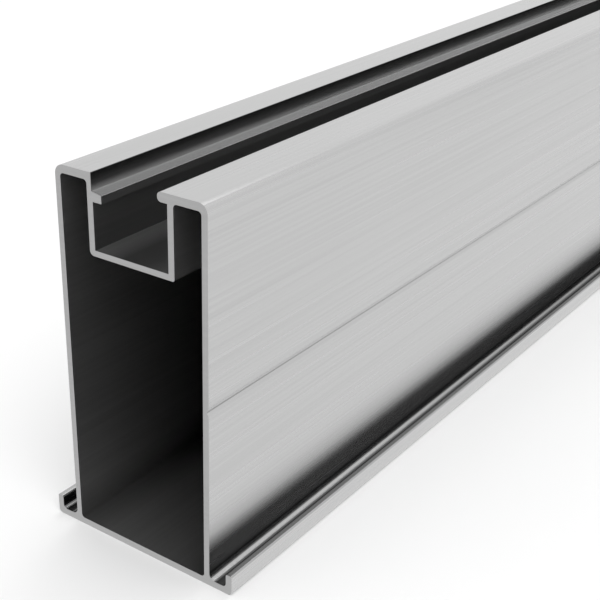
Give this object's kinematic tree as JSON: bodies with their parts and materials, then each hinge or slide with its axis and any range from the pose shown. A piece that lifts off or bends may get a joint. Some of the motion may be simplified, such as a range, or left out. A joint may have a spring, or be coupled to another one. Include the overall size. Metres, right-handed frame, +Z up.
{
  "type": "aluminium mounting rail",
  "caption": "Straight hollow aluminium rail with a snap-in channel along its top, a marking groove on one side and upturned hold-down feet.",
  "frame": {"origin": "centre of the underside, halfway along the length", "axes": "+Y along the length of the rail, +Z up from the underside to the channel, +X towards the side wall with the marking groove"},
  "size_m": [0.047, 1.2, 0.08],
  "materials": {
    "aluminium_extrusion": "mill-finished extrusion with a satin sheen and sawn ends"
  },
  "bodies": {
    "root": {"rail": "aluminium_extrusion"}
  },
  "joints": []
}
